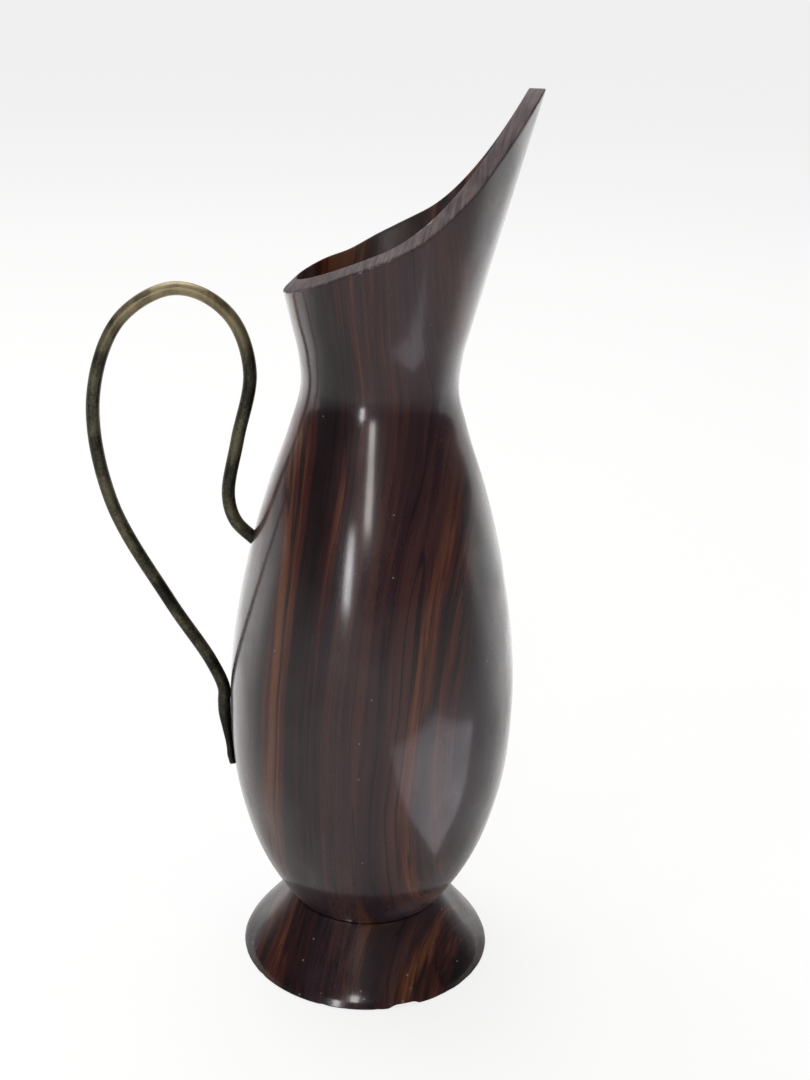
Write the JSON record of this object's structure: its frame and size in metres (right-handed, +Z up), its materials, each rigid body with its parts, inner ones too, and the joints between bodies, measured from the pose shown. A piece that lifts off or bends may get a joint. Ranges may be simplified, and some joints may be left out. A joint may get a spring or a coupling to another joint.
{
  "type": "turned wooden jug",
  "caption": "Tall turned hardwood jug with a swept spout, a flared foot and a bent round-rod brass handle pinned to the belly.",
  "frame": {"origin": "centre of the foot's flat underside, on the turning axis", "axes": "+Z up along the turning axis, +X from the handle towards the spout, the handle lies in the XZ plane on the -X side"},
  "size_m": [0.1392, 0.0944, 0.2941],
  "materials": {
    "rosewood": "gloss lacquer over dark red-brown streaked hardwood",
    "foot_wood": "gloss lacquer, a little worn and pitted",
    "brass": "dark tarnish, rubbed pale where it is held"
  },
  "bodies": {
    "root": {"vessel_body": "rosewood", "foot": "foot_wood", "handle_rod": "brass", "handle_pin": "brass"}
  },
  "joints": []
}
